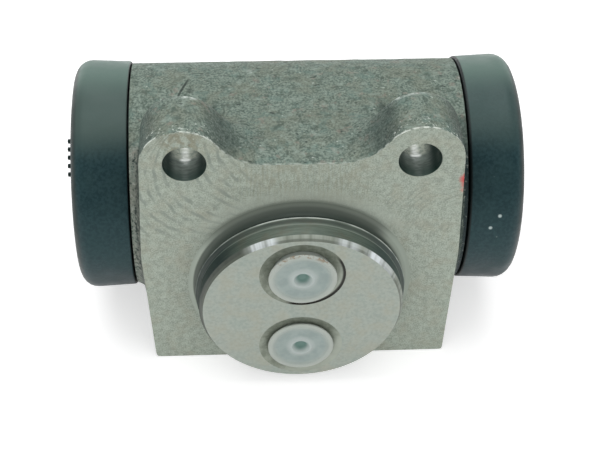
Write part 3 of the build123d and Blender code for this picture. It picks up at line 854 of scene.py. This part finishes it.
# Spring wire: cold-drawn steel with a fine grain and a thin film of brake grease.
spring_steel = plain_finish(
    "spring_steel", dark=(104, 106, 104), light=(146, 148, 146), rough=0.45, smooth=0.28, size=0.7,
    Metallic=0.9, Specular_IOR_Level=0.5,
)
for side, way in (("left", -1), ("right", 1)):
    corners, triangles = coil_half(way)
    coil = new_piece(f"{side}_spring_half", corners, outside_out(corners, triangles), [spring_steel], crease=60)
    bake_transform(coil)
    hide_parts("return_spring")


# A cup expander lies in each cup. It is pressed from steel sheet, and its cone keeps the lips on the bore.
# A rubber cup lies on the inner end of each piston, and the pistons are turned from aluminium.
pressed_steel = plain_finish(
    "pressed_steel", dark=(150, 152, 150), light=(182, 184, 182), rough=0.4, smooth=0.25, size=0.9,
    detail=2.0, drawn=(1.0, 1.0, 0.2), Metallic=0.9, Specular_IOR_Level=0.5,
)
seal_rubber = plain_finish(
    "seal_rubber", dark=(24, 26, 27), light=(38, 41, 42), rough=0.6, smooth=0.4, size=1.0,
    Metallic=0.0, Specular_IOR_Level=0.3,
)

# Piston metal: turned bright, with one fine ring for each turn of the lathe and a dull film of brake fluid. The
# rings run round the bore axis on the ends as on the sides, as their step is counted outward and along at once.
piston_metal, tree = new_finish("piston_metal", Metallic=0.9, Specular_IOR_Level=0.5)
place, x, y, z = own_place(tree)
tool_step = 0.3
from_axis = off_axis(tree, reckon(tree, "SUBTRACT", y, bore_depth), reckon(tree, "SUBTRACT", z, bore_height))
tool_path = reckon(tree, "MULTIPLY", reckon(tree, "ADD", from_axis, x), 2 * math.pi / tool_step)
tooled = slope(tree, reckon(tree, "SINE", tool_path), -1.0, 1.0)
film = slope(tree, clouds(tree, place, 2.2), 0.4, 0.7, 0.0, 0.5)
colour = layered(tree, (112, 117, 118), (tooled, (132, 137, 138)), (film, (98, 103, 102)))
connect(tree, colour, slope(tree, tooled, 0.0, 1.0, 0.42, 0.34), tooled, 0.004)
for kind, finish in (("cup_expander", pressed_steel), ("cup_seal", seal_rubber), ("piston", piston_metal)):
    for side in ("left", "right"):
        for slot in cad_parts[f"{side}_{kind}"].material_slots:
            slot.material = finish


# Each boot is moulded in black rubber. Its skirt snaps over the turned end, and the sleeve inside its flat
# end reaches in to a groove in the piston.
def eased(corners, steps=7):
    """A closed profile of (place along, radius, rounding) with its corners rounded: each gives way to points of
    the arc that touches both its sides, found by turning steadily from the one touching point to the other
    about the arc's middle."""
    corners = np.array(corners, float)
    profile, radii = corners[:, :2], corners[:, 2:]
    back = np.roll(profile, 1, axis=0) - profile
    ahead = np.roll(profile, -1, axis=0) - profile
    back = back / np.linalg.norm(back, axis=1)[:, None]
    ahead = ahead / np.linalg.norm(ahead, axis=1)[:, None]
    half = np.arccos(np.clip((back * ahead).sum(1), -1, 1))[:, None] / 2
    between = back + ahead
    between = between / np.maximum(np.linalg.norm(between, axis=1), 1e-9)[:, None]
    middle = profile + between * radii / np.sin(half)
    first = profile + back * radii / np.tan(half) - middle
    last = profile + ahead * radii / np.tan(half) - middle
    sweep = np.maximum(np.pi - 2 * half, 1e-6)[:, None]
    share = np.linspace(0, 1, steps)[None, :, None]
    arc = (np.sin((1 - share) * sweep) * first[:, None] + np.sin(share * sweep) * last[:, None]) / np.sin(sweep)
    return (middle[:, None] + arc).reshape(-1, 2)


# Boot rubber: black with a green-blue cast and a soft shine, painted light on top, painted shade below, at the
# outer ends and at both rims, and two white specks on the right.
boot_rubber, tree = new_finish(
    "boot_rubber", Metallic=0.0, Specular_IOR_Level=0.26, Specular_Tint=(0.84, 1.0, 0.96, 1.0),
)
place, x, y, z = own_place(tree)
bloom, grain = clouds(tree, place, 3.5), clouds(tree, place, 0.45, 2.0)
from_middle = reckon(tree, "ABSOLUTE", x)
right_rim = together(tree, slope(tree, from_middle, 25.50, 25.22), slope(tree, x, -1.0, 1.0))
specks = ((29.56, 1.88, 11.27), (28.3, 1.39, 9.29))
colour = layered(
    tree, (22, 47, 52),
    (slope(tree, grain, 0.35, 0.65), (34, 59, 63)),
    (slope(tree, bloom, 0.45, 0.7, 0.0, 0.4), (34, 60, 62)),
    # Painted shade below.
    (slope(tree, z, 5.0, -6.0, 0.0, 0.8), (8, 30, 34)),
    # Painted light on top, weaker on the right boot.
    (together(tree, slope(tree, z, 18.6, 22.2), slope(tree, x, -28.0, 28.0, 1.0, 0.6)), (60, 76, 72)),
    # Painted light on the back of the top.
    (together(tree, slope(tree, y, 15.0, 23.0), slope(tree, z, 17.0, 20.0)), (92, 114, 106)),
    # Painted shade on the outer ends and at both rims, more at the right rim.
    (slope(tree, from_middle, 32.2, 33.0, 0.0, 0.95), (4, 24, 22)),
    (reckon(tree, "MAXIMUM", right_rim, slope(tree, from_middle, 25.16, 25.04)), (8, 14, 16)),
    (slope(tree, clouds(tree, place, 0.9, 1.0), 0.80, 0.84, 0.0, 0.5), (120, 136, 132)),
    *((near(tree, place, speck, 0.38), (168, 182, 180)) for speck in specks),
)
connect(tree, colour, slope(tree, bloom, 0.3, 0.7, 0.38, 0.5), grain, 0.015)


def rubber_ring(name, way, corners, around):
    """A ring of rubber: a closed profile with rounded corners, carried round the bore axis on one side."""
    body = eased(corners)
    body = np.concatenate([body, body[:1]])
    corners, triangles = joined(*turned_across(body * (way, 1), around))
    return new_piece(name, corners, outside_out(corners, triangles), [boot_rubber])


skirt_start, boot_inside, boot_end, boot_mouth, boot_gap = 25.0, 31.9, 33.4, 10.6, 0.05
shell = [
    (skirt_start, land_radius + boot_gap, 0.15), (skirt_start, 17.4, 0.3), (boot_end, 17.8, 2.4),
    (boot_end, boot_mouth, 0), (boot_inside, boot_mouth, 0), (boot_inside, land_radius + boot_gap, 0.3),
    (groove_end - boot_gap, land_radius + boot_gap, 0.2),
    (groove_end - boot_gap, groove_radius + boot_gap, 0.2),
    (groove_start + boot_gap, groove_radius + boot_gap, 0.2),
    (groove_start + boot_gap, land_radius + boot_gap, 0.2),
]
sleeve_radius, lip_start, lip_end, lip_radius = 9.3, 25.4, 26.5, 6.95
sleeve = [
    (boot_end, boot_mouth, 0), (boot_end, sleeve_radius, 0.7), (lip_end, sleeve_radius, 0.3),
    (lip_end, lip_radius, 0.25), (lip_start, lip_radius, 0.25), (lip_start, 10.5, 0.5),
    (boot_inside, boot_mouth, 0),
]
pip = [(33.0, 0.0), (33.0, 0.35), (33.7, 0.35), (33.78, 0.27), (33.8, 0.15), (33.8, 0.0)]
pip_circle, pip_step, pip_count, pip_around, skirt_around = 15.0, 4.7, 5, 16, 288
for side, way, row in (("left", -1, 128.6), ("right", 1, 300.0)):
    skirt = rubber_ring(f"{side}_boot_skirt", way, shell, skirt_around)
    pips = []
    for turn in np.radians(row + pip_step * (np.arange(pip_count) - (pip_count - 1) / 2)):
        corners, triangles = turned_across(np.array(pip) * (way, 1), pip_around)
        corners = corners + (0, pip_circle * math.cos(turn), pip_circle * math.sin(turn))
        corners, triangles = joined(corners, triangles)
        pips.append((corners, outside_out(corners - corners.mean(0), triangles)))
    row_of_pips = new_piece(f"{side}_boot_pips", *skins_together(*pips), [boot_rubber], crease=60)
    throat = rubber_ring(f"{side}_boot_sleeve", way, sleeve, ring_around)
    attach(skirt, "housing")
    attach(row_of_pips, "housing")
    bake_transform(throat)
    for piece in (skirt, row_of_pips, throat):
        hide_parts(f"{side}_boot")


# A soft plastic plug closes each port for transport. It is moulded milky and a little see-through, its head
# has a dished face with a dimple where the mould was filled, and its stem is pushed into the port.
plug_plastic, tree = new_finish(
    "plug_plastic", Metallic=0.0, Specular_IOR_Level=0.45,
    Subsurface_Weight=0.15, Subsurface_Radius=(0.8, 1.0, 1.0), Subsurface_Scale=0.0008,
)
place, x, _, z = own_place(tree)
haze = clouds(tree, place, 1.8)
from_centre = off_axis(tree, x, reckon(tree, "SUBTRACT", reckon(tree, "ABSOLUTE", z), port_side))
rusty = together(
    tree, slope(tree, from_centre, 4.3, 4.7), slope(tree, z, 9.8, 11.2),
    slope(tree, clouds(tree, place, 0.6, 2.0), 0.48, 0.60, 0.0, 0.7),
)
colour = layered(
    tree, (139, 153, 149),
    (slope(tree, haze, 0.35, 0.65), (149, 162, 158)),
    # Painted light on the head's rim and round the dimple, and painted shade in the dimple.
    (slope(tree, from_centre, 3.4, 4.8, 0.0, 0.9), (172, 178, 170)),
    (slope(tree, from_centre, 2.5, 1.5, 0.0, 0.8), (178, 187, 184)),
    (slope(tree, from_centre, 1.3, 0.7), (98, 129, 121)),
    (rusty, (126, 102, 72)),
)
connect(tree, colour, slope(tree, haze, 0.3, 0.7, 0.45, 0.3), haze, 0.01)

stem_radius, stem_inside, stem_end, stem_floor, stem_chamfer = 4.4, 3.4, 8.0, 1.6, 0.5
dimple = [(0.70, 0.0), (0.70, 0.45), (0.66, 0.62), (0.1, 1.22)]
dimple_rim = [(-0.03, 1.32), (-0.05, 1.42), (-0.03, 1.55), (0.1, 1.7)]
dish = [(0.15, 1.8), (0.15, 3.95), (0.12, 4.05), (0.02, 4.15)]
head_rim = [(0.0, 4.25), (0.0, 4.85), (0.03, 4.93), (0.1, 4.975), (0.25, 4.975)]
stem = [
    (0.9, stem_radius), (stem_end - stem_chamfer, stem_radius), (stem_end, stem_radius - stem_chamfer),
    (stem_end, stem_inside), (stem_floor, stem_inside), (stem_floor, 0.0),
]
plug_profile = dimple + dimple_rim + dish + head_rim + stem
for name, face_plane, middle in (("inlet", -6.75, port_side), ("bleed", -6.25, -port_side)):
    corners, triangles = joined(*turned(plug_profile, (0, face_plane, middle), port_around))
    plug = new_piece(f"{name}_plug_moulding", corners, outside_out(corners, triangles), [plug_plastic], crease=40)
    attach(plug, "housing")
    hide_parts(f"{name}_plug")
